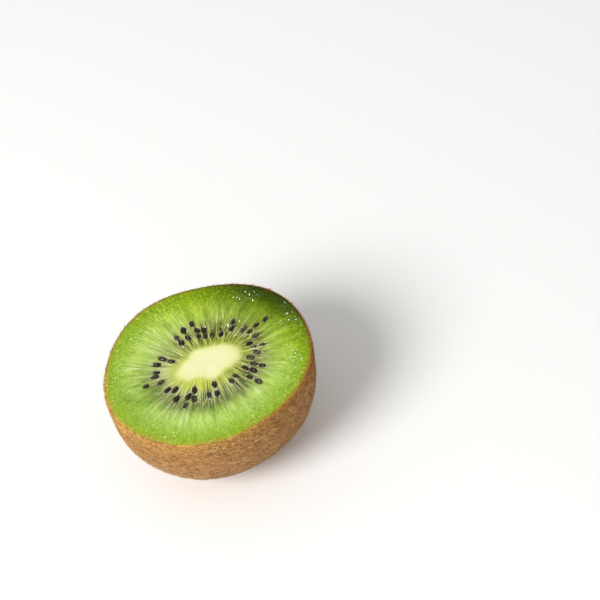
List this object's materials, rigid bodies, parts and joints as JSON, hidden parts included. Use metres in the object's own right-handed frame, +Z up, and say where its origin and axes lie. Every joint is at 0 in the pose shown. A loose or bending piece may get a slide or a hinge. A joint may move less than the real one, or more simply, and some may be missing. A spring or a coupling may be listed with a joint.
{
  "type": "kiwi fruit half",
  "caption": "Crosswise half of a kiwi fruit lying cut face up: furry brown skin, green flesh, pale core and a ring of dark seeds.",
  "frame": {"origin": "on the resting surface, under the middle of the fruit's outline seen from above", "axes": "+Z up, from the rounded end it rests on to the cut face; +X to the right and +Y away from the picture's camera"},
  "size_m": [0.0524, 0.051, 0.0293],
  "materials": {
    "flesh": "wet translucent green flesh with pale rays and a cream core",
    "skin": "matt brown skin",
    "hair": "short stiff tan hair",
    "seeds": "wet, nearly black"
  },
  "bodies": {
    "root": {"kiwi_half": "flesh"}
  },
  "joints": []
}
